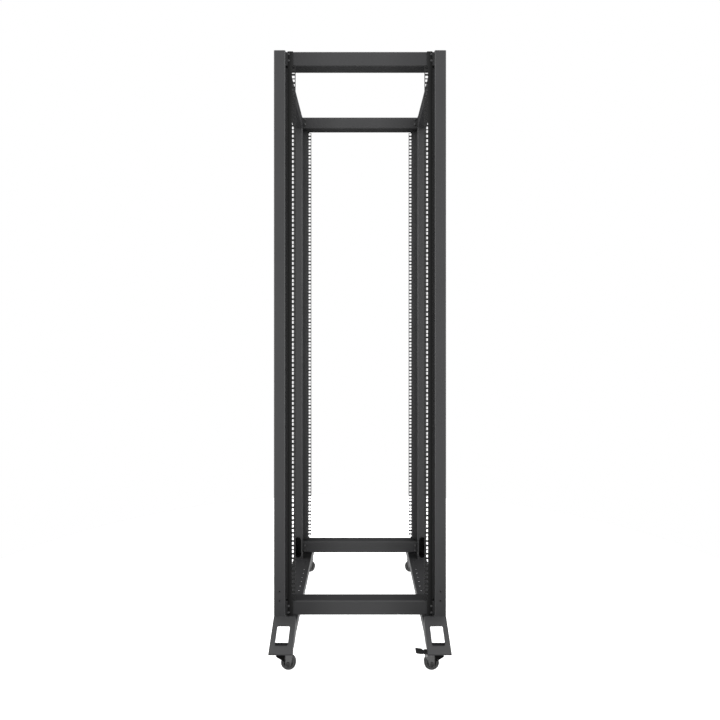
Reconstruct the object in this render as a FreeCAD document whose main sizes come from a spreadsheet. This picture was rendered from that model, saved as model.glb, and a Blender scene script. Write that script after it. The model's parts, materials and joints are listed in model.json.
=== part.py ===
import FreeCAD, Part
import math
import os
import Sketcher
from FreeCAD import Placement, Rotation, Vector

# A four post open frame rack on swivel casters, in millimetres.
# X runs to the right, Y to the back and Z up; the origin is the centre of the footprint on the floor.
# Four box posts carry four perforated 19 inch rails, closed by beams at the top and the bottom, and
# stand on two channel shaped base rails with sloping feet, which carry the casters.

DIMENSIONS = {
    # Equipment space
    "rack_units": 42,
    "unit_pitch": 44.45,
    "first_hole": 6.35,
    "hole_step": 15.875,
    "hole_size": 9.5,
    "column_spacing": 465.1,
    "rail_depth": 700,
    "rail_clear": 450,
    "unit_gap": 1.5,
    # Posts
    "flange_width": 35,
    "post_width": 40,
    "post_depth": 80,
    "post_wall": 2,
    "post_corner": 4,
    "rail_recess": 8,
    "post_skirt": 26,
    "slot_width": 30,
    "slot_length": 94,
    "slot_foot": 6,
    "small_hole": 6,
    "small_hole_low": 80,
    "small_hole_step": 32,
    # Rails
    "rail_wall": 2,
    "flange_lip": 16,
    "flange_tab": 26,
    "rail_leg_depth": 26,
    "rail_gap": 7,
    "rail_gap_depth": 12,
    # Beams
    "beam_height": 50,
    "beam_depth": 60,
    "beam_wall": 2,
    "beam_corner": 4,
    "side_hole": 8,
    "side_hole_pitch": 60,
    "side_hole_count": 9,
    # Base
    "base_top": 114,
    "base_width": 78,
    "base_height": 30,
    "base_wall": 2.5,
    "base_hole": 8,
    "base_hole_edge": 19,
    "base_hole_pitch": 45,
    "base_hole_count": 12,
    # Feet
    "foot_reach": 133,
    "foot_back": 40,
    "foot_wall": 3,
    "tread_edge": 54,
    "cheek_bend": 6,
    "window_width": 43,
    "window_top": 18,
    "window_bottom": 51.5,
    "window_corner": 3,
    # Casters
    "caster_setback": 53,
    "plate_side": 50,
    "plate_thickness": 3,
    "plate_corner": 6,
    "race_width": 40,
    "race_height": 11,
    "race_gap": 0.5,
    "stem_width": 12,
    "stem_gap": 0.4,
    "wheel_width": 50,
    "tyre_thickness": 6,
    "tyre_breadth": 20,
    "tyre_corner": 4,
    "trail": 22,
    "wheel_gap": 5,
    "fork_wall": 2.5,
    "fork_back": 18,
    "fork_front": 36,
    "fork_skirt": 9,
    "fork_leg": 28,
    "fork_bend": 24,
    "fork_eye": 8.5,
    "fork_round": 7,
    "axle_width": 8,
    "axle_gap": 0.3,
    "axle_head": 13,
    "axle_head_height": 4,
    "hub_boss": 17,
    "hub_web": 4,
    "hub_rim": 3,
    "seat_gap": 0.1,
    # Brake pedal
    "pedal_pivot_reach": 40,
    "pedal_pivot_height": 53,
    "pedal_pin": 5,
    "pedal_pin_head": 8,
    "pedal_pin_head_height": 1.5,
    "pedal_boss": 10,
    "pedal_neck": 20,
    "pedal_tread_breadth": 34,
    "pedal_tread_start": 52,
    "pedal_tip": 75,
    "pedal_top": 63,
    "pedal_thickness": 3,
    "pedal_corner": 4.5,
    "pedal_notch": 28,
    # How far a cutting shape runs past the piece it cuts
    "overrun": 2,
}
# How far two lengths, or the cosine of an angle and one, may differ and still count as equal
TOLERANCE = 0.01

doc = FreeCAD.newDocument("FourPostRack")
sheet = doc.addObject("Spreadsheet::Sheet", "dims")
for row, (alias, number) in enumerate(DIMENSIONS.items(), start=1):
    sheet.set(f"A{row}", alias)
    sheet.set(f"B{row}", str(number))
    sheet.setAlias(f"B{row}", alias)
doc.recompute()


def value(expression):
    """Return the number that an expression on the sheet gives."""
    result = sheet.evalExpression(expression)
    return float(getattr(result, "Value", result))


# Sizes worked out from the sheet, as expressions
UNITS_HEIGHT = "dims.rack_units * dims.unit_pitch"
RAIL_LENGTH = f"({UNITS_HEIGHT} + 2 * (dims.beam_height + dims.unit_gap))"
RAIL_BOTTOM = "(dims.base_top + dims.post_skirt)"
RAIL_TOP = f"({RAIL_BOTTOM} + {RAIL_LENGTH})"
POST_LENGTH = f"({RAIL_LENGTH} + dims.post_skirt)"
POST_FRONT = "(dims.rail_depth / 2 + dims.rail_recess)"
POST_INNER_X = "(dims.rail_clear / 2 + dims.flange_width)"
POST_MID_X = f"({POST_INNER_X} + dims.post_width / 2)"
BASE_MID_X = f"({POST_INNER_X} + dims.post_width - dims.base_width / 2)"
BEAM_FACE = "(dims.rail_depth / 2 - dims.rail_wall)"
SIDE_BEAM_LENGTH = f"(2 * ({POST_FRONT} - dims.post_depth))"
PLATE_TOP = "(dims.wheel_width + dims.wheel_gap + dims.fork_wall + dims.race_gap" \
    " + dims.race_height + dims.plate_thickness)"
FOOT_DROP = f"({RAIL_BOTTOM} - {PLATE_TOP} - dims.foot_wall)"
SWIVEL_Y = f"({POST_FRONT} + dims.foot_reach - dims.caster_setback)"
FORK_INSIDE = "(dims.tyre_breadth + 2 * dims.wheel_gap)"
FORK_BREADTH = f"({FORK_INSIDE} + 2 * dims.fork_wall)"
CROWN_UNDERSIDE = "(dims.wheel_width + dims.wheel_gap)"
CROWN_TOP = f"({CROWN_UNDERSIDE} + dims.fork_wall)"

parts = []


def new_body(name, x, y, z, turn=Rotation()):
    """Start a named body; x, y and z are expressions for where its own origin stands."""
    body = doc.addObject("PartDesign::Body", name)
    body.Label = name
    body.Placement = Placement(Vector(), turn)
    for axis, expression in zip("xyz", (x, y, z)):
        body.setExpression(f".Placement.Base.{axis}", expression)
    parts.append(body)
    return body


def origin_feature(body, role):
    """Find one of the body's own origin planes or axes."""
    return next(feature for feature in body.Origin.OriginFeatures if feature.Role == role)


def new_sketch(body, role, height="0"):
    """Add a sketch on an origin plane of the body, moved along the plane's normal."""
    sketch = body.newObject("Sketcher::SketchObject", f"{body.Name}_sketch")
    sketch.AttachmentSupport = [(origin_feature(body, role), "")]
    sketch.MapMode = "FlatFace"
    sketch.setExpression(".AttachmentOffset.Base.z", height)
    return sketch


def fix(sketch, kind, geometry, point, expression):
    """Tie the place of a point, measured from the sketch's origin, to the sheet."""
    constraint = Sketcher.Constraint(kind, -1, 1, geometry, point, value(expression))
    index = sketch.addConstraint(constraint)
    sketch.setExpression(f"Constraints[{index}]", expression)


def draw_outline(sketch, corners):
    """Draw a closed outline of straight lines; each corner is a pair of expressions."""
    first = sketch.GeometryCount
    points = [Vector(value(x), value(y), 0) for x, y in corners]
    following = points[1:] + points[:1]
    for start, end in zip(points, following):
        sketch.addGeometry(Part.LineSegment(start, end))
    for number, (x, y) in enumerate(corners):
        after = first + (number + 1) % len(corners)
        sketch.addConstraint(Sketcher.Constraint("Coincident", first + number, 2, after, 1))
        fix(sketch, "DistanceX", first + number, 1, x)
        fix(sketch, "DistanceY", first + number, 1, y)


def draw_rectangle(sketch, left, right, low, high):
    """Draw a rectangle between four expressions."""
    draw_outline(sketch, [(left, low), (right, low), (right, high), (left, high)])


def draw_circle(sketch, x, y, width):
    """Draw a circle whose centre and diameter are expressions."""
    centre = Vector(value(x), value(y), 0)
    index = sketch.addGeometry(Part.Circle(centre, Vector(0, 0, 1), value(width) / 2))
    fix(sketch, "DistanceX", index, 3, x)
    fix(sketch, "DistanceY", index, 3, y)
    diameter = sketch.addConstraint(Sketcher.Constraint("Diameter", index, value(width)))
    sketch.setExpression(f"Constraints[{diameter}]", width)


def draw_rounded(sketch, left, right, low, high, radius):
    """Draw a rectangle between four expressions, its corners rounded by the last one."""
    round_by = value(radius)
    x_low, x_high = value(left) + round_by, value(right) - round_by
    y_low, y_high = value(low) + round_by, value(high) - round_by
    centres = [(x_high, y_low), (x_high, y_high), (x_low, y_high), (x_low, y_low)]
    arcs = []
    for number, (x, y) in enumerate(centres):
        start = math.radians(90 * number - 90)
        circle = Part.Circle(Vector(x, y, 0), Vector(0, 0, 1), round_by)
        arcs.append(Part.ArcOfCircle(circle, start, start + math.pi / 2))
    following = arcs[1:] + arcs[:1]
    sides = [Part.LineSegment(a.EndPoint, b.StartPoint) for a, b in zip(arcs, following)]
    sketch.addGeometry(arcs + sides)
    for number in range(4):
        side = 4 + number
        sketch.addConstraint(Sketcher.Constraint("Tangent", number, 2, side, 1))
        sketch.addConstraint(Sketcher.Constraint("Tangent", side, 2, (number + 1) % 4, 1))
        fix(sketch, "DistanceX", number, 3, f"{right} - {radius}" if number < 2 else f"{left} + {radius}")
        fix(sketch, "DistanceY", number, 3, f"{low} + {radius}" if number in (0, 3) else f"{high} - {radius}")
        corner = sketch.addConstraint(Sketcher.Constraint("Radius", number, round_by))
        sketch.setExpression(f"Constraints[{corner}]", radius)


def add_pad(body, sketch, length, both_ways=False, reverse=False):
    """Pad a sketch by an expression, to one side or half to each side."""
    pad = body.newObject("PartDesign::Pad", f"{body.Name}_pad")
    pad.Profile = sketch
    pad.setExpression("Length", length)
    pad.Midplane = both_ways
    pad.Reversed = reverse
    return pad


def add_pocket(body, sketch, length, both_ways=False, reverse=False):
    """Pocket a sketch by an expression and make sure that it takes material away."""
    doc.recompute()
    before = body.Shape.Volume
    pocket = body.newObject("PartDesign::Pocket", f"{body.Name}_pocket")
    pocket.Profile = sketch
    pocket.setExpression("Length", length)
    pocket.Midplane = both_ways
    pocket.Reversed = reverse
    doc.recompute()
    if body.Shape.Volume >= before:
        raise ValueError(f"{body.Label}: a pocket cuts nothing")
    return pocket


def add_row(body, feature, role, count, pitch):
    """Repeat a feature in a row along an origin axis of the body."""
    row = body.newObject("PartDesign::LinearPattern", f"{body.Name}_row")
    row.Originals = [feature]
    row.Direction = (origin_feature(body, role), [""])
    row.setExpression("Length", f"({count} - 1) * {pitch}")
    row.setExpression("Occurrences", count)
    body.Tip = row
    return row


def add_fillet(body, radius, chosen):
    """Round the edges of the body for which chosen(edge) is true."""
    doc.recompute()
    base = body.Tip
    names = [f"Edge{i}" for i, edge in enumerate(base.Shape.Edges, start=1) if chosen(edge)]
    fillet = body.newObject("PartDesign::Fillet", f"{body.Name}_fillet")
    fillet.Base = (base, names)
    fillet.setExpression("Radius", radius)
    return fillet


def runs_along(edge, axis):
    """Tell whether a straight edge runs along an axis."""
    if not isinstance(edge.Curve, Part.Line):
        return False
    return abs(edge.Curve.Direction.dot(axis)) > 1 - TOLERANCE


def negative(expression):
    return f"-({expression})"


# Posts: rounded box tubes, closed at the top, with an access slot in the wall that faces the
# other post and two small holes in the outer face.
def make_post(name, x, y, turn):
    body = new_body(name, x, y, "dims.base_top", turn)
    outside = new_sketch(body, "XY_Plane")
    draw_rectangle(outside, "-dims.post_width / 2", "dims.post_width / 2", "0", "dims.post_depth")
    add_pad(body, outside, POST_LENGTH)
    add_fillet(body, "dims.post_corner", lambda edge: runs_along(edge, Vector(0, 0, 1)))
    inside = new_sketch(body, "XY_Plane")
    inner_half = "(dims.post_width / 2 - dims.post_wall)"
    draw_rectangle(
        inside, f"-{inner_half}", inner_half, "dims.post_wall", "dims.post_depth - dims.post_wall"
    )
    add_pocket(body, inside, f"{POST_LENGTH} - dims.post_wall", reverse=True)
    slot = new_sketch(body, "XZ_Plane", "-dims.post_depth - dims.overrun")
    draw_slot(slot)
    add_pocket(body, slot, "2 * dims.post_wall + dims.overrun", reverse=True)
    holes = new_sketch(body, "XZ_Plane", "dims.overrun")
    for step in ("0", "dims.small_hole_step"):
        draw_circle(holes, "0", f"dims.small_hole_low + {step}", "dims.small_hole")
    add_pocket(body, holes, "2 * dims.post_wall + dims.overrun")


def draw_slot(sketch):
    """Draw the upright slot with round ends, on the middle of the post."""
    radius = value("dims.slot_width") / 2
    low = value("dims.slot_foot") + radius
    high = value("dims.slot_foot + dims.slot_length") - radius
    top = Part.Arc(Vector(radius, high, 0), Vector(0, high + radius, 0), Vector(-radius, high, 0))
    left = Part.LineSegment(Vector(-radius, high, 0), Vector(-radius, low, 0))
    bottom = Part.Arc(Vector(-radius, low, 0), Vector(0, low - radius, 0), Vector(radius, low, 0))
    right = Part.LineSegment(Vector(radius, low, 0), Vector(radius, high, 0))
    sketch.addGeometry([top, left, bottom, right])
    sketch.addConstraint([
        Sketcher.Constraint("Tangent", 0, 2, 1, 1),
        Sketcher.Constraint("Tangent", 1, 2, 2, 1),
        Sketcher.Constraint("Tangent", 2, 2, 3, 1),
        Sketcher.Constraint("Tangent", 3, 2, 0, 1),
        Sketcher.Constraint("Vertical", 1),
    ])
    half = "dims.slot_width / 2"
    fix(sketch, "DistanceX", 0, 3, "0")
    fix(sketch, "DistanceY", 0, 3, f"dims.slot_foot + dims.slot_length - {half}")
    fix(sketch, "DistanceY", 2, 3, f"dims.slot_foot + {half}")
    diameter = sketch.addConstraint(Sketcher.Constraint("Diameter", 0, 2 * radius))
    sketch.setExpression(f"Constraints[{diameter}]", "dims.slot_width")


# Rails: a perforated flange beside the post, with a narrow groove between the two, folded back into
# a box behind. The fold stops short of the beams; only a narrow tab of the flange runs on over them.
def make_rail(name, x, y, z, turn):
    body = new_body(name, x, y, z, turn)
    leg_reach = "(dims.flange_width - dims.flange_lip)"
    tab = new_sketch(body, "XY_Plane", negative(f"{RAIL_LENGTH} / 2"))
    draw_rectangle(tab, "dims.rail_gap", "dims.flange_tab", "0", "dims.rail_wall")
    add_pad(body, tab, RAIL_LENGTH)
    flange = new_sketch(body, "XY_Plane", negative(f"{UNITS_HEIGHT} / 2"))
    draw_rectangle(flange, "dims.rail_gap", "dims.flange_width", "0", "dims.rail_wall")
    add_pad(body, flange, UNITS_HEIGHT)
    fold = new_sketch(body, "XY_Plane", negative(f"{UNITS_HEIGHT} / 2"))
    draw_outline(fold, [
        (leg_reach, "dims.rail_wall / 2"),
        (leg_reach, "dims.rail_leg_depth"),
        ("0", "dims.rail_leg_depth"),
        ("0", "dims.rail_leg_depth - dims.rail_wall"),
        (f"{leg_reach} - dims.rail_wall", "dims.rail_leg_depth - dims.rail_wall"),
        (f"{leg_reach} - dims.rail_wall", "dims.rail_wall / 2"),
    ])
    draw_outline(fold, [
        ("dims.rail_gap", "dims.rail_wall / 2"),
        ("dims.rail_gap", "dims.rail_gap_depth"),
        ("0", "dims.rail_gap_depth"),
        ("0", "dims.rail_gap_depth + dims.rail_wall"),
        ("dims.rail_gap + dims.rail_wall", "dims.rail_gap_depth + dims.rail_wall"),
        ("dims.rail_gap + dims.rail_wall", "dims.rail_wall / 2"),
    ])
    add_pad(body, fold, UNITS_HEIGHT)
    holes = new_sketch(body, "XZ_Plane", "dims.overrun")
    column = f"({POST_INNER_X} - dims.column_spacing / 2)"
    for step in range(3):
        height = f"({step} * dims.hole_step + dims.first_hole - {UNITS_HEIGHT} / 2)"
        draw_rectangle(
            holes,
            f"{column} - dims.hole_size / 2",
            f"{column} + dims.hole_size / 2",
            f"{height} - dims.hole_size / 2",
            f"{height} + dims.hole_size / 2",
        )
    pocket = add_pocket(body, holes, "dims.rail_wall + 2 * dims.overrun")
    add_row(body, pocket, "Z_Axis", "dims.rack_units", "dims.unit_pitch")


# Beams: closed tubes between the posts, and a drilled one between the post tops of each side.
def make_beam(name, y, z, turn):
    body = new_body(name, "0", y, z, turn)
    section = new_sketch(body, "YZ_Plane")
    draw_rectangle(section, "0", "dims.beam_depth", "0", "dims.beam_height")
    add_pad(body, section, f"2 * {POST_INNER_X}", both_ways=True)
    add_fillet(body, "dims.beam_corner", lambda edge: runs_along(edge, Vector(1, 0, 0)))
    hollow = new_sketch(body, "YZ_Plane")
    draw_rectangle(
        hollow,
        "dims.beam_wall",
        "dims.beam_depth - dims.beam_wall",
        "dims.beam_wall",
        "dims.beam_height - dims.beam_wall",
    )
    add_pocket(body, hollow, f"2 * {POST_INNER_X} + dims.overrun", both_ways=True)


def make_side_beam(name, x, z, turn):
    body = new_body(name, x, "0", z, turn)
    section = new_sketch(body, "XZ_Plane")
    draw_rectangle(section, "-dims.post_width / 2", "dims.post_width / 2", "0", "dims.beam_height")
    add_pad(body, section, SIDE_BEAM_LENGTH, both_ways=True)
    add_fillet(body, "dims.beam_corner", lambda edge: runs_along(edge, Vector(0, 1, 0)))
    hollow = new_sketch(body, "XZ_Plane")
    inner_half = "(dims.post_width / 2 - dims.beam_wall)"
    draw_rectangle(
        hollow,
        f"-{inner_half}",
        inner_half,
        "dims.beam_wall",
        "dims.beam_height - dims.beam_wall",
    )
    add_pocket(body, hollow, f"{SIDE_BEAM_LENGTH} + dims.overrun", both_ways=True)
    hole = new_sketch(body, "YZ_Plane")
    first = "-(dims.side_hole_count - 1) * dims.side_hole_pitch / 2"
    draw_circle(hole, first, "dims.beam_height / 2", "dims.side_hole")
    pocket = add_pocket(body, hole, "dims.post_width + dims.overrun", both_ways=True)
    add_row(body, pocket, "Y_Axis", "dims.side_hole_count", "dims.side_hole_pitch")


# Base rails: channels, open below, drilled along the inner edge of the top.
def make_base_rail(name, x, turn):
    body = new_body(name, x, "0", "dims.base_top", turn)
    half = "dims.base_width / 2"
    inner_half = f"({half} - dims.base_wall)"
    channel = new_sketch(body, "XZ_Plane")
    draw_outline(channel, [
        (f"-{half}", "-dims.base_height"),
        (f"-{half}", "0"),
        (half, "0"),
        (half, "-dims.base_height"),
        (inner_half, "-dims.base_height"),
        (inner_half, "-dims.base_wall"),
        (f"-{inner_half}", "-dims.base_wall"),
        (f"-{inner_half}", "-dims.base_height"),
    ])
    add_pad(body, channel, f"2 * ({POST_FRONT} - dims.foot_back)", both_ways=True)
    hole = new_sketch(body, "XY_Plane", "dims.overrun")
    first = "-(dims.base_hole_count - 1) * dims.base_hole_pitch / 2"
    draw_circle(hole, f"{half} - dims.base_hole_edge", first, "dims.base_hole")
    pocket = add_pocket(body, hole, "dims.base_wall + 2 * dims.overrun")
    add_row(body, pocket, "Y_Axis", "dims.base_hole_count", "dims.base_hole_pitch")


def is_cheek_bend(edge):
    """Tell whether an edge is one of the two bends low in the outline of a foot's cheeks."""
    centre = edge.CenterOfMass
    low = centre.z < TOLERANCE - value("dims.base_height")
    behind_tread = centre.y > -TOLERANCE - value("dims.tread_edge")
    before_back = centre.y < value("dims.foot_back") - TOLERANCE
    return runs_along(edge, Vector(1, 0, 0)) and low and behind_tread and before_back


# Feet: folded from sheet, with a sloping front that has a rounded window, two cheeks, a flat tread
# below for the caster and a short channel behind that the post stands on.
def make_foot(name, x, y, turn):
    body = new_body(name, x, y, "dims.base_top", turn)
    reach = "dims.foot_reach"
    lip = "dims.post_skirt"
    tread_top = f"({lip} - {FOOT_DROP})"
    tread_low = f"({tread_top} - dims.foot_wall)"
    cheek = new_sketch(body, "YZ_Plane")
    draw_outline(cheek, [
        ("dims.foot_back", "0"),
        ("0", "0"),
        ("0", lip),
        (f"-{reach}", tread_top),
        (f"-{reach}", tread_low),
        ("-dims.tread_edge", tread_low),
        ("0", "-dims.base_height"),
        ("dims.foot_back", "-dims.base_height"),
    ])
    add_pad(body, cheek, "dims.base_width", both_ways=True)
    add_fillet(body, "dims.cheek_bend", is_cheek_bend)
    slope = f"({FOOT_DROP} / {reach})"
    plate_depth = f"(dims.foot_wall * sqrt({reach} ^ 2 + {FOOT_DROP} ^ 2) / {reach})"
    hollow = new_sketch(body, "YZ_Plane")
    below = f"({tread_low} - dims.base_height)"
    behind = "(dims.foot_back + dims.overrun)"
    draw_outline(hollow, [
        (behind, "-dims.foot_wall"),
        ("0", "-dims.foot_wall"),
        ("0", f"{lip} - {plate_depth}"),
        (f"{plate_depth} / {slope} - {reach}", tread_top),
        ("-dims.tread_edge", tread_top),
        ("-dims.tread_edge", below),
        (behind, below),
    ])
    add_pocket(body, hollow, "dims.base_width - 2 * dims.foot_wall", both_ways=True)
    window = new_sketch(body, "XZ_Plane")
    draw_rounded(
        window,
        "-dims.window_width / 2",
        "dims.window_width / 2",
        f"{lip} - dims.window_bottom",
        f"{lip} - dims.window_top",
        "dims.window_corner",
    )
    add_pocket(body, window, f"2 * {reach}", reverse=True)


# Casters: each set is modelled about its swivel axis on the floor, with the wheel trailing to +X.
def make_caster_plate(name, x, y, turn):
    body = new_body(name, x, y, PLATE_TOP, turn)
    outline = new_sketch(body, "XY_Plane")
    half = "dims.plate_side / 2"
    draw_rectangle(outline, f"-{half}", half, f"-{half}", half)
    add_pad(body, outline, "dims.plate_thickness", reverse=True)
    add_fillet(body, "dims.plate_corner", lambda edge: runs_along(edge, Vector(0, 0, 1)))
    race = new_sketch(body, "XZ_Plane")
    plate_low = "dims.plate_thickness"
    race_low = "(dims.plate_thickness + dims.race_height)"
    draw_outline(race, [
        ("0", f"-{plate_low} / 2"),
        ("dims.race_width / 2", f"-{plate_low} / 2"),
        ("dims.race_width / 2", f"-({race_low} - dims.race_height / 3)"),
        ("dims.race_width / 2 - dims.race_height / 3", f"-{race_low}"),
        ("0", f"-{race_low}"),
    ])
    turned = body.newObject("PartDesign::Revolution", f"{body.Name}_race")
    turned.Profile = race
    turned.ReferenceAxis = (origin_feature(body, "Z_Axis"), [""])
    turned.Angle = 360
    bore = new_sketch(body, "XY_Plane", f"-{race_low} - dims.overrun")
    draw_circle(bore, "0", "0", "dims.stem_width + 2 * dims.stem_gap")
    add_pocket(body, bore, "dims.race_height + dims.overrun", reverse=True)


def make_fork(name, x, y, turn, braked):
    body = new_body(name, x, y, "0", turn)
    axle_z = "dims.wheel_width / 2"
    block = new_sketch(body, "XZ_Plane")
    draw_outline(block, [
        ("-dims.fork_back", CROWN_TOP),
        ("-dims.fork_back", f"{CROWN_TOP} - dims.fork_skirt"),
        ("dims.trail - dims.fork_leg / 2", f"{CROWN_TOP} - dims.fork_bend"),
        ("dims.trail - dims.fork_eye", f"{axle_z} - dims.fork_eye"),
        ("dims.trail + dims.fork_eye", f"{axle_z} - dims.fork_eye"),
        ("dims.fork_front", f"{CROWN_TOP} - dims.fork_skirt"),
        ("dims.fork_front", CROWN_TOP),
    ])
    add_pad(body, block, FORK_BREADTH, both_ways=True)
    if braked:
        ear = new_sketch(body, "XZ_Plane")
        ear_edge = "(dims.pedal_pivot_reach + dims.pedal_boss / 2)"
        draw_outline(ear, [
            ("dims.trail", CROWN_TOP),
            ("dims.trail", axle_z),
            (ear_edge, "dims.pedal_pivot_height - dims.pedal_boss / 2"),
            (ear_edge, CROWN_TOP),
        ])
        add_pad(body, ear, FORK_BREADTH, both_ways=True)
    space = new_sketch(body, "XZ_Plane")
    draw_rectangle(
        space, "-dims.wheel_width", "2 * dims.wheel_width", "-dims.overrun", CROWN_UNDERSIDE
    )
    add_pocket(body, space, FORK_INSIDE, both_ways=True)
    if braked:
        notch = new_sketch(body, "XZ_Plane")
        draw_rectangle(
            notch,
            "dims.pedal_notch",
            "2 * dims.wheel_width",
            f"{CROWN_UNDERSIDE} - dims.overrun",
            f"{CROWN_TOP} + dims.overrun",
        )
        add_pocket(body, notch, FORK_INSIDE, both_ways=True)
    add_fillet(body, "dims.fork_round", lambda edge: runs_along(edge, Vector(0, 1, 0))
               and edge.CenterOfMass.z < value(axle_z))
    bores = new_sketch(body, "XZ_Plane")
    draw_circle(bores, "dims.trail", axle_z, "dims.axle_width + 2 * dims.seat_gap")
    if braked:
        draw_circle(
            bores,
            "dims.pedal_pivot_reach",
            "dims.pedal_pivot_height",
            "dims.pedal_pin + 2 * dims.seat_gap",
        )
    add_pocket(body, bores, f"{FORK_BREADTH} + dims.overrun", both_ways=True)
    stem = new_sketch(body, "XY_Plane", f"{CROWN_TOP} - dims.fork_wall / 2")
    draw_circle(stem, "0", "0", "dims.stem_width")
    add_pad(body, stem, "dims.fork_wall / 2 + dims.race_gap + dims.race_height - dims.stem_gap")


def make_pin(name, x, y, turn, reach, height, width, head, head_height):
    """A pin across the fork with a flat head on each side."""
    body = new_body(name, x, y, "0", turn)
    shank = new_sketch(body, "XZ_Plane")
    draw_circle(shank, reach, height, width)
    add_pad(body, shank, FORK_BREADTH, both_ways=True)
    for side, reverse in (("", False), ("-", True)):
        cap = new_sketch(body, "XZ_Plane", f"{side}{FORK_BREADTH} / 2")
        draw_circle(cap, reach, height, head)
        add_pad(body, cap, head_height, reverse=reverse)


def turn_about_axle(body, outline):
    """Turn an outline about the axle; each corner is a pair (along the axle, out from it)."""
    axle_z = "dims.wheel_width / 2"
    profile = new_sketch(body, "YZ_Plane", "dims.trail")
    draw_outline(profile, [(along, f"{axle_z} + {out}") for along, out in outline])
    ends = [Vector(side * value(FORK_INSIDE), value(axle_z), 0) for side in (-1, 1)]
    axis = profile.addGeometry(Part.LineSegment(*ends), True)
    for point, along in ((1, f"-{FORK_INSIDE}"), (2, FORK_INSIDE)):
        fix(profile, "DistanceX", axis, point, along)
        fix(profile, "DistanceY", axis, point, axle_z)
    turned = body.newObject("PartDesign::Revolution", f"{body.Name}_turned")
    turned.Profile = profile
    turned.ReferenceAxis = (profile, ["Axis0"])
    turned.Angle = 360


def make_tyre(name, x, y, turn):
    body = new_body(name, x, y, "0", turn)
    tread = "dims.wheel_width / 2"
    inner = f"({tread} - dims.tyre_thickness)"
    half = "dims.tyre_breadth / 2"
    corner = "dims.tyre_corner"
    # The shoulders are rounded in two flats.
    turn_about_axle(body, [
        (f"-{half}", inner),
        (f"-{half}", f"{tread} - {corner}"),
        (f"-{half} + {corner} / 3", f"{tread} - {corner} / 3"),
        (f"-{half} + {corner}", tread),
        (f"{half} - {corner}", tread),
        (f"{half} - {corner} / 3", f"{tread} - {corner} / 3"),
        (half, f"{tread} - {corner}"),
        (half, inner),
    ])


def make_hub(name, x, y, turn):
    body = new_body(name, x, y, "0", turn)
    rim = "(dims.wheel_width / 2 - dims.tyre_thickness - dims.seat_gap)"
    boss = "dims.hub_boss / 2"
    reach = f"({FORK_INSIDE} / 2 - dims.axle_gap)"
    web = "dims.hub_web / 2"
    half = "dims.tyre_breadth / 2"
    bore = "(dims.axle_width / 2 + dims.axle_gap)"
    turn_about_axle(body, [
        (f"-{reach}", bore),
        (f"-{reach}", boss),
        (f"-{web}", boss),
        (f"-{web}", f"{rim} - dims.hub_rim"),
        (f"-{half}", f"{rim} - dims.hub_rim"),
        (f"-{half}", rim),
        (half, rim),
        (half, f"{rim} - dims.hub_rim"),
        (web, f"{rim} - dims.hub_rim"),
        (web, boss),
        (reach, boss),
        (reach, bore),
    ])


def make_pedal(name, x, y, turn):
    body = new_body(name, x, y, "0", turn)
    pivot_x = "dims.pedal_pivot_reach"
    pivot_z = "dims.pedal_pivot_height"
    boss = new_sketch(body, "XZ_Plane")
    draw_circle(boss, pivot_x, pivot_z, "dims.pedal_boss")
    add_pad(body, boss, f"{FORK_INSIDE} - 2 * dims.axle_gap", both_ways=True)
    under = "(dims.pedal_top - 2 * dims.pedal_thickness)"
    arm = new_sketch(body, "XZ_Plane")
    draw_outline(arm, [
        (pivot_x, f"{pivot_z} - dims.pedal_thickness / 2"),
        (pivot_x, f"{pivot_z} + dims.pedal_boss / 2"),
        ("dims.pedal_tread_start", f"{under} + dims.pedal_thickness"),
        ("dims.pedal_tread_start + dims.overrun", under),
    ])
    add_pad(body, arm, "dims.pedal_neck", both_ways=True)
    tread = new_sketch(body, "XZ_Plane")
    draw_outline(tread, [
        ("dims.pedal_tread_start", under),
        ("dims.pedal_tread_start", f"{under} + dims.pedal_thickness"),
        ("dims.pedal_tip", "dims.pedal_top"),
        ("dims.pedal_tip", "dims.pedal_top - dims.pedal_thickness"),
    ])
    add_pad(body, tread, "dims.pedal_tread_breadth", both_ways=True)
    add_fillet(body, "dims.pedal_corner", lambda edge: runs_along(edge, Vector(0, 0, 1))
               and abs(edge.CenterOfMass.x - value("dims.pedal_tip")) < TOLERANCE)
    bore = new_sketch(body, "XZ_Plane")
    draw_circle(bore, pivot_x, pivot_z, "dims.pedal_pin + 2 * dims.axle_gap")
    add_pocket(body, bore, FORK_BREADTH, both_ways=True)


HALF_TURN = Rotation(Vector(0, 0, 1), 180)
UPSIDE_DOWN = Rotation(Vector(0, 1, 0), 180)
TOP_BEAM_Z = f"{RAIL_TOP} - dims.beam_height"
MID_Z = f"{RAIL_BOTTOM} + {RAIL_LENGTH} / 2"

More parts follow.
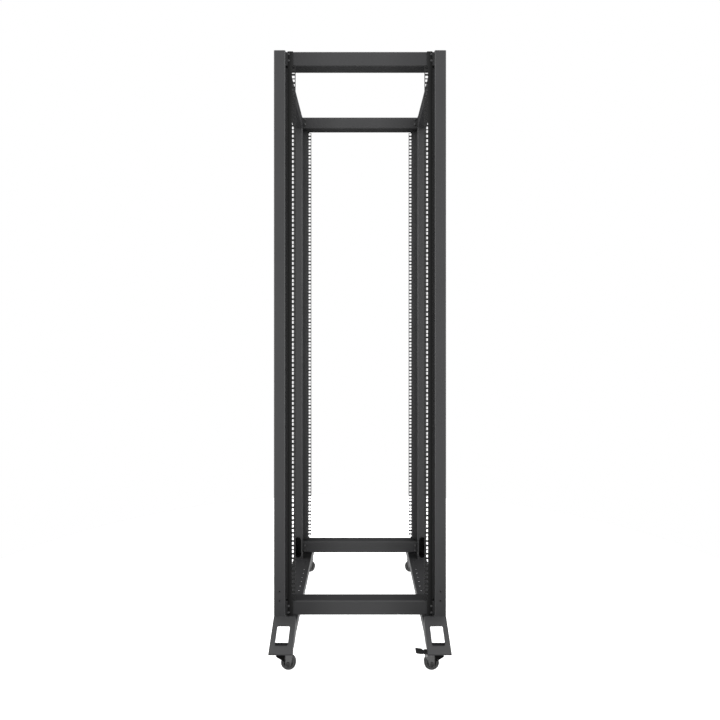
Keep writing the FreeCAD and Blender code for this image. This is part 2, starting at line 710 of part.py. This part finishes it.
for end, sign, facing in (("front", "-", Rotation()), ("rear", "", HALF_TURN)):
    for side, side_sign in (("left", "-"), ("right", "")):
        corner = f"{end}_{side}"
        make_post(f"post_{corner}", f"{side_sign}{POST_MID_X}", f"{sign}{POST_FRONT}", facing)
        # A rail that reaches to the other side is the same piece turned upside down.
        same_way = (end == "front") == (side == "left")
        rail_turn = facing if same_way else facing * UPSIDE_DOWN
        rail_y = f"{sign}(dims.rail_depth / 2)"
        make_rail(f"rail_{corner}", f"{side_sign}{POST_INNER_X}", rail_y, MID_Z, rail_turn)
        make_foot(f"foot_{corner}", f"{side_sign}{BASE_MID_X}", f"{sign}{POST_FRONT}", facing)
        caster_x = f"{side_sign}{BASE_MID_X}"
        caster_y = f"{sign}{SWIVEL_Y}"
        trailing = Rotation() if side == "left" else HALF_TURN
        braked = corner == "front_right"
        make_caster_plate(f"caster_plate_{corner}", caster_x, caster_y, trailing)
        make_fork(f"caster_fork_{corner}", caster_x, caster_y, trailing, braked)
        make_pin(
            f"caster_axle_{corner}", caster_x, caster_y, trailing,
            "dims.trail", "dims.wheel_width / 2", "dims.axle_width",
            "dims.axle_head", "dims.axle_head_height",
        )
        make_tyre(f"caster_tyre_{corner}", caster_x, caster_y, trailing)
        make_hub(f"caster_hub_{corner}", caster_x, caster_y, trailing)
    for level, beam_z in (("bottom", RAIL_BOTTOM), ("top", TOP_BEAM_Z)):
        make_beam(f"{level}_beam_{end}", f"{sign}{BEAM_FACE}", beam_z, facing)

for side, side_sign, facing in (("left", "-", Rotation()), ("right", "", HALF_TURN)):
    make_side_beam(f"top_side_beam_{side}", f"{side_sign}{POST_MID_X}", TOP_BEAM_Z, facing)
    make_base_rail(f"base_rail_{side}", f"{side_sign}{BASE_MID_X}", facing)

make_pin(
    "pedal_pin", BASE_MID_X, f"-{SWIVEL_Y}", HALF_TURN,
    "dims.pedal_pivot_reach", "dims.pedal_pivot_height", "dims.pedal_pin",
    "dims.pedal_pin_head", "dims.pedal_pin_head_height",
)
make_pedal("brake_pedal", BASE_MID_X, f"-{SWIVEL_Y}", HALF_TURN)

doc.recompute()
for item in doc.Objects:
    if {"Invalid", "Error"} & set(item.State):
        raise ValueError(f"{item.Name} failed: {item.State}")
for body in parts:
    if body.Shape.isNull() or not body.Shape.isValid() or len(body.Shape.Solids) != 1:
        raise ValueError(f"{body.Label} is not one valid solid")

os.makedirs("parts", exist_ok=True)
for body in parts:
    body.Shape.exportStep(f"parts/{body.Label}.step")
print(f"{len(parts)} sub-parts written")
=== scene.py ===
import json
import math

import bmesh
import bpy
from mathutils import Matrix, Vector


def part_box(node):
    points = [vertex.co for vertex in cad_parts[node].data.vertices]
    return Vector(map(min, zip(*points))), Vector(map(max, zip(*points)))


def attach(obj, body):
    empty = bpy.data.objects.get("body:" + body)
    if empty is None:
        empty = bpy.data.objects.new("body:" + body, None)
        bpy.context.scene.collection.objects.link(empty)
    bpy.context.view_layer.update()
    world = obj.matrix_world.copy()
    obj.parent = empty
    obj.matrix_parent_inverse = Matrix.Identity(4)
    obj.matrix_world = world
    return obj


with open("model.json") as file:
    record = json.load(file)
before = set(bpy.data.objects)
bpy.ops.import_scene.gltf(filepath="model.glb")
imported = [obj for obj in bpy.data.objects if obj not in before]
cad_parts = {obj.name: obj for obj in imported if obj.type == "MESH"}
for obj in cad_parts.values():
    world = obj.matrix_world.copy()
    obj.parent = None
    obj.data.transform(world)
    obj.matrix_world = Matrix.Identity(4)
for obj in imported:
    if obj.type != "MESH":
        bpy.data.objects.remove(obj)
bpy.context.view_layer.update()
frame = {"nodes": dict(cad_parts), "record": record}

# The four post open frame rack, dressed: its finishes, its fastenings, the light and the view.
# Lengths are metres in the part's own frame: X to the right, Y to the back, Z up from the floor.

NODES = frame["nodes"]
MM = 0.001
ENDS = ("front", "rear")
SIDES = ("left", "right")
LEVELS = ("bottom", "top")
CORNERS = [f"{end}_{side}" for end in ENDS for side in SIDES]
POST_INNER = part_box("post_front_right")[0].x
RAIL_INNER, RAIL_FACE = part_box("rail_rear_right")[0].x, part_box("rail_rear_right")[1].y
# Where the sloping horn of each fork leaves its leg, across the rack, and the painted shade on the
# fork begins
FORK_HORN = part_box("caster_tyre_front_right")[1].x - 17.0 * MM
# Which way each end, side and level lies from the middle of the rack
OUTWARD = {"front": -1, "rear": 1, "left": -1, "right": 1, "bottom": -1, "top": 1}
# Edges of the small pieces that turn by more than this stay sharp
SHARP_FROM = math.radians(40)


# ---------------------------------------------------------------- finishes

class Wire:
    """A number on its way between nodes; arithmetic on it adds Math nodes."""

    def __init__(self, nodes, socket):
        self.nodes = nodes
        self.socket = socket

    def math(self, operation, *values, clamp=False):
        settings = {"operation": operation, "use_clamp": clamp}
        return self.nodes.node("ShaderNodeMath", settings, dict(enumerate(values)))

    def __add__(self, other):
        return self.math("ADD", self, other)

    def __radd__(self, other):
        return self.math("ADD", other, self)

    def __sub__(self, other):
        return self.math("SUBTRACT", self, other)

    def __rsub__(self, other):
        return self.math("SUBTRACT", other, self)

    def __mul__(self, other):
        return self.math("MULTIPLY", self, other)

    def __rmul__(self, other):
        return self.math("MULTIPLY", other, self)

    def __abs__(self):
        return self.math("ABSOLUTE", self)

    def above(self, low, high):
        """Rise from 0 to 1 as the number goes from low to high."""
        return self.math("MULTIPLY", self - low, 1 / (high - low), clamp=True)


class Nodes:
    """A node tree that is built by naming nodes and what goes into them."""

    def __init__(self, tree):
        self.tree = tree

    def node(self, kind, settings, inputs, output=0):
        """Add a node, set it up, feed its sockets and return one of its outputs."""
        made = self.tree.nodes.new(kind)
        for name, setting in settings.items():
            setattr(made, name, setting)
        for name, given in inputs.items():
            self.feed(made.inputs[name], given)
        return None if output is None else Wire(self, made.outputs[output])

    def feed(self, socket, given):
        if isinstance(given, Wire):
            self.tree.links.new(given.socket, socket)
        else:
            socket.default_value = given


class Finish(Nodes):
    """A surface finish being mixed from nodes on the piece's own coordinates."""

    def __init__(self, name):
        self.material = bpy.data.materials.new(name)
        self.material.use_nodes = True
        super().__init__(self.material.node_tree)
        self.shader = self.tree.nodes["Principled BSDF"]
        self.place = self.node("ShaderNodeTexCoord", {}, {}, "Object")

    def set(self, **sockets):
        """Feed the shader's sockets; an underscore stands for a space."""
        for name, given in sockets.items():
            self.feed(self.shader.inputs[name.replace("_", " ")], given)

    def noise(self, scale, detail=2.0, roughness=0.5):
        inputs = {"Vector": self.place, "Scale": scale, "Detail": detail, "Roughness": roughness}
        return self.node("ShaderNodeTexNoise", {}, inputs)

    def stretched_noise(self, scales, detail=2.0):
        """Noise whose grains are as fine along each axis as its scale says."""
        spread = self.node("ShaderNodeMapping", {}, {"Vector": self.place, "Scale": scales})
        inputs = {"Vector": spread, "Scale": 1.0, "Detail": detail}
        return self.node("ShaderNodeTexNoise", {}, inputs)

    def cells(self, scale):
        """Distance from the middle of the nearest of many scattered cells."""
        return self.node("ShaderNodeTexVoronoi", {}, {"Vector": self.place, "Scale": scale})

    def along(self, axis):
        """Place along an axis of the rack: 0 across, 1 to the back, 2 up from the floor."""
        return self.node("ShaderNodeSeparateXYZ", {}, {0: self.place}, axis)

    def mix(self, share, first, second):
        """Mix two colours by a share between 0 and 1."""
        inputs = {0: share, 6: colour(first), 7: colour(second)}
        return self.node("ShaderNodeMix", {"data_type": "RGBA"}, inputs, 2)

    def bump(self, relief, depth, strength=1.0, below=None):
        """Raise the surface by a relief between 0 and 1 times a depth."""
        inputs = {"Height": relief, "Distance": depth, "Strength": strength}
        if below:
            inputs["Normal"] = below
        return self.node("ShaderNodeBump", {}, inputs)


def colour(given):
    """Take a grey, a red, green and blue, or a colour already on its way."""
    if isinstance(given, Wire):
        return given
    if isinstance(given, float):
        given = (given, given, given)
    return (*given, 1.0)


def powder_coat(name, part=None):
    """Satin black powder coat: orange peel and a fine fleck.

    On the face of a flange it carries painted shadow, darkest beside the post, and on a beam painted
    shade that deepens towards its ends.
    """
    finish = Finish(name)
    peel = finish.noise(520.0)
    grain = finish.noise(2200.0, detail=1.0)
    drift = finish.noise(9.0, detail=3.0)
    fleck = 1 - finish.cells(900.0).above(0.10, 0.22)
    across = abs(finish.along(0))
    black = finish.mix(drift, (0.0185, 0.0185, 0.0195), (0.0235, 0.0235, 0.0245))
    base = finish.mix(fleck * 0.16, black, (0.10, 0.10, 0.105))
    # How much painted shade lies on the coat: none on plain parts.
    painted_shade = 0.0
    # Painted shadow on the outer face of a flange: a darker colour, darkest beside the post, and a
    # metallic face without sheen.
    if part == "flange":
        face_depth, lit_edge, dark_edge = 1.2 * MM, 6.0 * MM, 7.0 * MM
        painted_shade = abs(finish.along(1)).above(RAIL_FACE - face_depth, RAIL_FACE - face_depth / 2)
        shade_toward_post = across.above(RAIL_INNER + lit_edge, POST_INNER - dark_edge)
        base = finish.mix(painted_shade, base, finish.mix(shade_toward_post, 0.034, 0.011))
    # Painted shade on a beam: its face turns partly metallic, which darkens it, more towards its
    # ends beside the posts.
    if part == "beam":
        middle_share, deepest_painted_shade = 0.35, 0.4
        painted_shade = across.above(middle_share * POST_INNER, POST_INNER) * deepest_painted_shade
    skin = finish.bump(peel, 0.12 * MM, 0.55)
    finish.set(
        Base_Color=base,
        Metallic=painted_shade,
        Roughness=0.40 + drift * 0.10,
        Normal=finish.bump(grain, 0.03 * MM, 0.45, below=skin),
    )
    return finish.material


def pressed_steel():
    """Grey passivated pressed steel of the caster forks, with painted shade out along the horn."""
    finish = Finish("caster_fork_steel")
    drift = finish.noise(45.0, detail=3.0)
    grain = finish.noise(1400.0)
    rub = finish.noise(130.0, detail=4.0).above(0.60, 0.78)
    # Painted shade: the fork turns near black and metallic beyond the horn's edge, along a wobbling
    # line.
    shade_edge_wobble = finish.noise(210.0, detail=3.0) * 5.0 * MM
    horn_painted_shade = (abs(finish.along(0)) + shade_edge_wobble).above(FORK_HORN + 1.5 * MM, FORK_HORN + 6.0 * MM)
    grey = finish.mix(rub * 0.5, finish.mix(drift, 0.14, 0.20), 0.28)
    finish.set(
        Base_Color=finish.mix(horn_painted_shade, grey, 0.011),
        Metallic=0.55 + horn_painted_shade * 0.40,
        Roughness=0.36 + drift * 0.12,
        Normal=finish.bump(grain, 0.03 * MM, 0.4),
    )
    return finish.material


def blackened_steel():
    """Blackened steel of the wheels' axles."""
    finish = Finish("blackened_axle_steel")
    drift = finish.noise(120.0, detail=3.0)
    grain = finish.noise(1600.0)
    finish.set(
        Base_Color=finish.mix(drift, 0.035, 0.06),
        Metallic=0.5,
        Roughness=0.34 + drift * 0.14,
        Normal=finish.bump(grain, 0.02 * MM, 0.4),
    )
    return finish.material


def bright_zinc():
    """Bright zinc plate on bolts, pins and caster plates, clouded and finely brushed."""
    finish = Finish("bright_zinc")
    cloud = finish.noise(90.0, detail=3.0)
    brushed = finish.stretched_noise((5200.0, 700.0, 5200.0))
    finish.set(
        Base_Color=finish.mix(cloud, (0.46, 0.465, 0.47), (0.60, 0.60, 0.59)),
        Metallic=1.0,
        Roughness=0.27 + cloud * 0.16,
        Normal=finish.bump(brushed, 0.012 * MM, 0.5),
    )
    return finish.material


def tyre_rubber():
    """Dark moulded rubber, dull and dusty where it rolls."""
    finish = Finish("tyre_rubber")
    mould = finish.noise(1500.0)
    dust = finish.noise(160.0, detail=4.0).above(0.40, 0.80)
    finish.set(
        Base_Color=finish.mix(dust * 0.6, (0.028, 0.028, 0.029), (0.075, 0.073, 0.070)),
        Roughness=0.66 + dust * 0.16,
        Normal=finish.bump(mould, 0.05 * MM, 0.5),
    )
    return finish.material


def moulded_plastic(name, grey, roughness):
    """Moulded plastic with a spark eroded skin."""
    finish = Finish(name)
    skin = finish.cells(1900.0)
    drift = finish.noise(70.0)
    finish.set(
        Base_Color=finish.mix(drift, grey * 0.9, grey * 1.12),
        Roughness=roughness + drift * 0.08,
        Normal=finish.bump(skin, 0.03 * MM, 0.4),
    )
    return finish.material


FINISHES = {
    "frame_powder": powder_coat("black_powder_coat"),
    "caster_steel": pressed_steel(),
    "bright_steel": bright_zinc(),
    "tyre_rubber": tyre_rubber(),
    "hub_plastic": moulded_plastic("grey_hub_plastic", 0.085, 0.40),
}
AXLE_BLACK = blackened_steel()
PEDAL_PLASTIC = moulded_plastic("black_pedal_plastic", 0.018, 0.34)
# The coats of the flanges and of the beams carry painted shade.
FLANGE_COAT_SHADED = powder_coat("flange_coat_painted_shade", "flange")
BEAM_COAT_SHADED = powder_coat("beam_coat_painted_shade", "beam")


def finish_nodes():
    """Give every CAD node the finish of its material slot, or one of its own."""
    chosen = {row["node"]: FINISHES[row["material_slot"]] for row in frame["record"]["subparts"]}
    chosen["brake_pedal"] = PEDAL_PLASTIC
    chosen.update({f"caster_axle_{corner}": AXLE_BLACK for corner in CORNERS})
    # Rails and cross beams take the coats with painted shade.
    chosen.update({f"rail_{corner}": FLANGE_COAT_SHADED for corner in CORNERS})
    chosen.update({f"{level}_beam_{end}": BEAM_COAT_SHADED for level in LEVELS for end in ENDS})
    for name, finish in chosen.items():
        NODES[name].data.materials.clear()
        NODES[name].data.materials.append(finish)


# ---------------------------------------------------------------- small pieces

# The button head bolts of the beams, and the nuts and thread that all the frame's bolts share
BOLT_HEAD, HEAD_HEIGHT, HEAD_SOCKET = 6.6 * MM, 2.6 * MM, 3.2 * MM
NUT_FLATS, NUT_HEIGHT, THREAD = 8.0 * MM, 3.2 * MM, 5.0 * MM


def add_piece(name, form, body, slot, finish=None):
    """Turn a bmesh into a piece that rides on a body, in its slot's finish or one of its own."""
    bmesh.ops.recalc_face_normals(form, faces=form.faces)
    mesh = bpy.data.meshes.new(name)
    form.to_mesh(mesh)
    form.free()
    piece = bpy.data.objects.new(name, mesh)
    bpy.context.collection.objects.link(piece)
    mesh.materials.append(finish or FINISHES[slot])
    mesh.shade_smooth()
    mesh.set_sharp_from_angle(angle=SHARP_FROM)
    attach(piece, body)


def turned_form(profile):
    """Spin a profile of (radius, height) pairs about Z; its ends lie on the axis."""
    sides = 24
    form = bmesh.new()
    points = [form.verts.new((radius, 0.0, height)) for radius, height in profile]
    edges = [form.edges.new(pair) for pair in zip(points, points[1:])]
    bmesh.ops.spin(
        form, geom=points + edges, cent=(0, 0, 0), axis=(0, 0, 1),
        angle=2 * math.pi, steps=sides, use_merge=True,
    )
    bmesh.ops.remove_doubles(form, verts=form.verts, dist=0.005 * MM)
    return form


def hex_form(flats, height, chamfer):
    """A hexagonal prism on Z = 0 whose upper edges are eased."""
    form = bmesh.new()
    across = flats / math.cos(math.radians(30)) / 2
    bmesh.ops.create_cone(
        form, cap_ends=True, segments=6, radius1=across, radius2=across, depth=height
    )
    bmesh.ops.translate(form, verts=form.verts, vec=(0.0, 0.0, height / 2))
    upper = [edge for edge in form.edges if all(vert.co.z > height / 2 for vert in edge.verts)]
    bmesh.ops.bevel(
        form, geom=upper, offset=chamfer, offset_type="OFFSET", affect="EDGES",
        segments=2, profile=0.5, material=-1,
    )
    return form


def join(form, other, place=Matrix()):
    """Move a form and add it to another."""
    spare = bpy.data.meshes.new("spare")
    bmesh.ops.transform(other, matrix=place, verts=other.verts)
    other.to_mesh(spare)
    other.free()
    form.from_mesh(spare)
    bpy.data.meshes.remove(spare)
    return form


def raised(height):
    """A move up from Z = 0."""
    return Matrix.Translation((0.0, 0.0, height))


def washer_profile(bore, width, thickness):
    """Section of a flat washer with eased edges, drawn down to the axis."""
    ease = thickness / 4
    return [
        (0.0, 0.0), (width / 2 - ease, 0.0), (width / 2, ease), (width / 2, thickness - ease),
        (width / 2 - ease, thickness), (bore / 2, thickness), (0.0, thickness),
    ]


def screw_form(head, height, socket):
    """A button head screw on a washer, with a hexagon socket sunk in its dome."""
    washer, skirt = 1.2 * MM, 0.6 * MM
    form = turned_form(washer_profile(head * 0.6, head * 1.25, washer))
    dome = [(0.0, washer), (head / 2, washer)]
    steps, sweep = 4, math.radians(80)
    for step in range(steps + 1):
        angle = sweep * step / steps
        rise = skirt + (height - skirt) * math.sin(angle)
        dome.append((head / 2 * math.cos(angle), washer + rise))
    dome.append((0.0, washer + height))
    join(form, turned_form(dome))
    # The socket's rim is a fine hexagonal collar round a dark hole.
    lip, rim_height, rim_ease = 0.4 * MM, 0.3 * MM, 0.1 * MM
    rim = hex_form(socket + 2 * lip, rim_height, rim_ease)
    top = max(rim.faces, key=lambda face: face.calc_center_median().z)
    bmesh.ops.inset_region(rim, faces=[top], thickness=lip)
    sunk = bmesh.ops.extrude_face_region(rim, geom=[top])
    bottom = [part for part in sunk["geom"] if isinstance(part, bmesh.types.BMVert)]
    bmesh.ops.delete(rim, geom=[top], context="FACES")
    socket_depth = height * 0.45
    bmesh.ops.translate(rim, verts=bottom, vec=(0, 0, -socket_depth))
    return join(form, rim, raised(washer + height - rim_height / 2))


def facing(direction):
    """Turn Z to look along a direction."""
    return Vector(direction).to_track_quat("Z", "Y").to_matrix().to_4x4()


def set_at(form, place, direction):
    """Stand a form that was made on Z = 0 on a place, looking along a direction."""
    stand = Matrix.Translation(place) @ facing(direction)
    bmesh.ops.transform(form, matrix=stand, verts=form.verts)
    return form


def threaded_end(width, length):
    """The end of a bolt above its nut, cut with rings for its thread and eased at the tip."""
    pitch, thread_depth = 1.25 * MM, 0.45 * MM
    plain_end, ease, taper = 1.2 * MM, 0.5 * MM, 0.6 * MM
    crest, root = width / 2, width / 2 - thread_depth
    profile = [(0.0, 0.0), (crest, 0.0)]
    for turn in range(int((length - plain_end) / pitch)):
        profile += [(root, (turn + 0.5) * pitch), (crest, (turn + 1.0) * pitch)]
    profile += [(root, length - ease), (root - taper, length), (0.0, length)]
    return turned_form(profile)


def collar_form(flats, foot, shoulder, height):
    """The rounded collar on a lock nut: its foot's radius, and the heights of shoulder and rim."""
    bend, rim = foot - 0.02 * flats, foot - 0.10 * flats
    return turned_form([(0.0, 0.0), (foot, 0.0), (bend, shoulder), (rim, height), (0.0, height)])


def nut_form(proud):
    """A lock nut on its washer with the end of the bolt standing proud of it."""
    washer, chamfer, sunk = 1.4 * MM, 0.7 * MM, 0.2 * MM
    form = turned_form(washer_profile(THREAD, NUT_FLATS * 1.45, washer))
    join(form, hex_form(NUT_FLATS, NUT_HEIGHT, chamfer), raised(washer))
    collar = collar_form(NUT_FLATS, NUT_FLATS * 0.46, 0.9 * MM, 1.3 * MM)
    join(form, collar, raised(washer + NUT_HEIGHT - sunk))
    return join(form, threaded_end(THREAD, proud), raised(washer + NUT_HEIGHT))


# ---------------------------------------------------------------- fastenings

# The bolts that hold the beams stand in the tabs of the flanges, beside the posts: how far they are
# from the ends of the rails and from the posts.
BOLT_INSETS = (10.5 * MM, 33.0 * MM)
BOLT_FROM_POST = 10.5 * MM


def beam_bolts():
    """Name, corner, level and place of each bolt through a flange's tab and the beam behind it."""
    for corner in CORNERS:
        side = corner.split("_")[1]
        across = OUTWARD[side]
        low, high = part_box(f"rail_{corner}")
        post_side = max(low.x * across, high.x * across)
        for level in LEVELS:
            rail_end = high.z if level == "top" else low.z
            for number, inset in enumerate(BOLT_INSETS, start=1):
                name = f"{level}_{corner}_{number}"
                x = across * (post_side - BOLT_FROM_POST)
                yield name, corner, level, x, rail_end - OUTWARD[level] * inset


def add_beam_bolts():
    """Two button head bolts through each end of each cross beam, with nuts on its inner face."""
    proud = 2.0 * MM
    for name, corner, level, x, z in beam_bolts():
        end = corner.split("_")[0]
        out = OUTWARD[end]
        flange_face = max(point.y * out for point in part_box(f"rail_{corner}"))
        inner_face = min(point.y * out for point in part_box(f"{level}_beam_{end}"))
        head = screw_form(BOLT_HEAD, HEAD_HEIGHT, HEAD_SOCKET)
        set_at(head, (x, out * flange_face, z), (0, out, 0))
        add_piece(f"beam_bolt_{name}", head, "frame", "frame_powder")
        nut = set_at(nut_form(proud), (x, out * inner_face, z), (0, -out, 0))
        add_piece(f"beam_nut_{name}", nut, "frame", "frame_powder")


def slot_edging_form(width, length, breadth, proud):
    """A flat ring with round ends, lying on Z = 0 with its length along Y."""
    form = bmesh.new()
    sides = 32
    half_step = Matrix.Rotation(math.pi / sides, 4, "Z")
    bmesh.ops.create_circle(
        form, cap_ends=True, radius=width / 2 + breadth, segments=sides, matrix=half_step
    )
    middle = list(form.faces)
    bmesh.ops.inset_region(form, faces=middle, thickness=breadth, use_boundary=True)
    bmesh.ops.delete(form, geom=middle, context="FACES_ONLY")
    for way in (-1, 1):
        end = [vert for vert in form.verts if vert.co.y * way > 0]
        bmesh.ops.translate(form, verts=end, vec=(0, way * (length - width) / 2, 0))
    ring = bmesh.ops.extrude_face_region(form, geom=list(form.faces))
    top = [part for part in ring["geom"] if isinstance(part, bmesh.types.BMVert)]
    bmesh.ops.translate(form, verts=top, vec=(0, 0, proud))
    return form


def add_slot_edgings():
    """A raised edging round the access slot of each post, on the wall that faces inwards."""
    slot_width, slot_length, slot_foot = 30.0 * MM, 94.0 * MM, 6.0 * MM
    breadth, proud, lap = 2.6 * MM, 1.4 * MM, 0.4 * MM
    for corner in CORNERS:
        inward = -OUTWARD[corner.split("_")[0]]
        low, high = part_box(f"post_{corner}")
        wall = max(low.y * inward, high.y * inward)
        height = low.z + slot_foot + slot_length / 2
        place = Matrix.Translation(((low.x + high.x) / 2, inward * wall, height))
        upright = Matrix.Rotation(math.radians(-90 * inward), 4, "X")
        form = slot_edging_form(slot_width - lap, slot_length - lap, breadth, proud)
        bmesh.ops.transform(form, verts=form.verts, matrix=place @ upright)
        add_piece(f"slot_edging_{corner}", form, "frame", "frame_powder")


def add_rivet_nuts():
    """A blind rivet nut in each of the two small holes low on the outer face of each post."""
    heights = (80.0 * MM, 112.0 * MM)
    bore, shank, rim = 2.4 * MM, 2.9 * MM, 4.3 * MM
    proud, depth, floor = 0.4 * MM, 12.0 * MM, 1.0 * MM
    profile = [
        (0.0, -depth), (shank, -depth), (shank, 0.0), (rim, 0.0), (rim, proud), (bore, proud),
        (bore, floor - depth), (0.0, floor - depth),
    ]
    for corner in CORNERS:
        out = OUTWARD[corner.split("_")[0]]
        low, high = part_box(f"post_{corner}")
        face = max(low.y * out, high.y * out)
        for number, height in enumerate(heights, start=1):
            place = ((low.x + high.x) / 2, out * face, low.z + height)
            form = set_at(turned_form(profile), place, (0, out, 0))
            add_piece(f"rivet_nut_{corner}_{number}", form, "frame", "frame_powder")


def add_plate_bolts():
    """Four bolts through each caster's top plate: low heads on the foot's tread, nuts below."""
    plate_thickness, tread_thickness = 3.0 * MM, 3.0 * MM
    from_edge, proud = 6.5 * MM, 1.8 * MM
    # Radius and height of a low dome
    dome = [(0.0, 0.0), (4.0 * MM, 0.0), (3.7 * MM, 0.8 * MM), (2.6 * MM, 1.4 * MM), (0.0, 1.7 * MM)]
    for corner in CORNERS:
        low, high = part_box(f"caster_plate_{corner}")
        middle = (low + high) / 2
        reach = (high.x - low.x) / 2 - from_edge
        ways = [(across, along) for across in (-1, 1) for along in (-1, 1)]
        for number, (across, along) in enumerate(ways, start=1):
            x, y = middle.x + across * reach, middle.y + along * reach
            head = set_at(turned_form(dome), (x, y, high.z + tread_thickness), (0, 0, 1))
            add_piece(f"plate_bolt_{corner}_{number}", head, "frame", "frame_powder")
            nut = set_at(nut_form(proud), (x, y, high.z - plate_thickness), (0, 0, -1))
            add_piece(f"plate_nut_{corner}_{number}", nut, "frame", "bright_steel")


def add_axle_ends():
    """A hexagon head on the front of each axle and a lock nut on its back."""
    # The hexagons close over the axle's own plain ends, which are this thick.
    end_thickness, cover, chamfer = 4.0 * MM, 0.4 * MM, 0.9 * MM
    head_proud, nut_proud, thread_foot = 0.5 * MM, 0.3 * MM, 0.6 * MM
    thread_width, thread_proud = 7.6 * MM, 2.6 * MM
    for corner in CORNERS:
        low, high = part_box(f"caster_axle_{corner}")
        middle = (low + high) / 2
        flats = high.x - low.x + cover
        body = f"swivel_{corner}"
        head = hex_form(flats, end_thickness + head_proud, chamfer)
        set_at(head, (middle.x, low.y + end_thickness, middle.z), (0, -1, 0))
        add_piece(f"axle_head_{corner}", head, body, "caster_steel", AXLE_BLACK)
        nut = hex_form(flats, end_thickness + nut_proud, chamfer)
        collar = collar_form(flats, flats * 0.45, 1.0 * MM, 1.5 * MM)
        join(nut, collar, raised(end_thickness))
        join(nut, threaded_end(thread_width, thread_proud), raised(end_thickness + thread_foot))
        set_at(nut, (middle.x, high.y - end_thickness, middle.z), (0, 1, 0))
        add_piece(f"axle_nut_{corner}", nut, body, "caster_steel", AXLE_BLACK)


# ---------------------------------------------------------------- view and light

# How strongly the white room lights the rack: from all round, from straight ahead of it, from the
# walls at its front sides and from above
AMBIENT = 0.10
MIDDLE_GLOW = 1.2
WALL_GLOW = 4.6
CEILING_GLOW = 1.6

FLOOR_RADIUS = 1.9
# What the floor throws back up at the rack, and how far in front of the rack's middle it is dimmest
DIM_FLOOR, BRIGHT_FLOOR = 0.16, 0.50
DIM_FROM_MIDDLE = 0.62


def place_camera():
    """A level view from the front, near enough for the rear posts to stand inside the front ones."""
    distance = 2.15
    eye_height = 1.1
    data = bpy.data.cameras.new("front_view")
    data.sensor_width = 36.0
    data.lens = 30.90
    data.shift_y = -0.0271
    camera = bpy.data.objects.new("front_view", data)
    camera.location = (0.0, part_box("post_front_left")[0].y - distance, eye_height)
    camera.rotation_euler = (math.radians(90), 0.0, 0.0)
    bpy.context.collection.objects.link(camera)
    bpy.context.scene.camera = camera


def add_softbox(name, place, aim, size, strength):
    """A soft rectangular light of a width and height, at a place, turned to an aim."""
    data = bpy.data.lights.new(name, "AREA")
    data.shape = "RECTANGLE"
    data.size, data.size_y = size
    data.energy = strength
    lamp = bpy.data.objects.new(name, data)
    lamp.location = place
    lamp.rotation_euler = (Vector(aim) - Vector(place)).to_track_quat("-Z", "Y").to_euler()
    bpy.context.collection.objects.link(lamp)


def light_room():
    """A white room, which lights the rack evenly over its height from wide soft walls in front."""
    world = bpy.data.worlds.new("white_room")
    world.use_nodes = True
    room = Nodes(world.node_tree)
    room.tree.nodes.clear()
    way = room.node("ShaderNodeTexCoord", {}, {}, "Generated")
    across, along, upward = (
        room.node("ShaderNodeSeparateXYZ", {}, {0: way}, axis) for axis in range(3)
    )
    ahead = -1 * along
    level = 1 - abs(upward).above(0.45, 0.85)
    walls = abs(across).above(0.45, 0.85) * ahead.above(-0.35, 0.10) * level
    middle = ahead.above(0.25, 0.95)
    ceiling = upward.above(0.60, 0.95)
    glow = AMBIENT + middle * MIDDLE_GLOW + walls * WALL_GLOW + ceiling * CEILING_GLOW
    lighting = room.node("ShaderNodeBackground", {}, {"Strength": glow})
    seen = room.node("ShaderNodeBackground", {}, {"Color": (1.0, 1.0, 1.0, 1.0), "Strength": 1.0})
    eye = room.node("ShaderNodeLightPath", {}, {}, "Is Camera Ray")
    either = room.node("ShaderNodeMixShader", {}, {0: eye, 1: lighting, 2: seen})
    room.node("ShaderNodeOutputWorld", {}, {"Surface": either}, None)
    bpy.context.scene.world = world
    bpy.context.scene.view_settings.view_transform = "Standard"
    add_softbox("top_box", (0.0, -0.4, 4.4), (0.0, 0.0, 0.0), (2.4, 2.0), 30.0)
    for side in SIDES:
        corner = (OUTWARD[side] * 3.4, 3.4, 1.9)
        add_softbox(f"back_{side}_box", corner, (0.0, 0.0, 1.0), (1.8, 2.4), 25.0)


def lay_floor():
    """A pale round floor, which throws less light back up in front of the rack's feet."""
    mesh = bpy.data.meshes.new("floor")
    form = bmesh.new()
    bmesh.ops.create_circle(form, cap_ends=True, radius=FLOOR_RADIUS, segments=96)
    form.to_mesh(mesh)
    form.free()
    floor = bpy.data.objects.new("floor", mesh)
    bpy.context.collection.objects.link(floor)
    paint = Finish("pale_floor")
    eye = paint.node("ShaderNodeLightPath", {}, {}, "Is Camera Ray")
    in_front = 1 - abs(paint.along(1) + DIM_FROM_MIDDLE).above(0.25, 0.45)
    beside_middle = abs(paint.along(0)).above(0.05, 0.25)
    bounce = paint.mix(in_front * beside_middle, BRIGHT_FLOOR, DIM_FLOOR)
    paint.set(
        Base_Color=paint.mix(eye, bounce, 0.9),
        Roughness=0.9,
        Specular_IOR_Level=0.1,
        Emission_Color=paint.mix(eye, bounce, 1.0),
        Emission_Strength=0.85,
    )
    mesh.materials.append(paint.material)


finish_nodes()
add_beam_bolts()
add_slot_edgings()
add_rivet_nuts()
add_plate_bolts()
add_axle_ends()
place_camera()
light_room()
lay_floor()
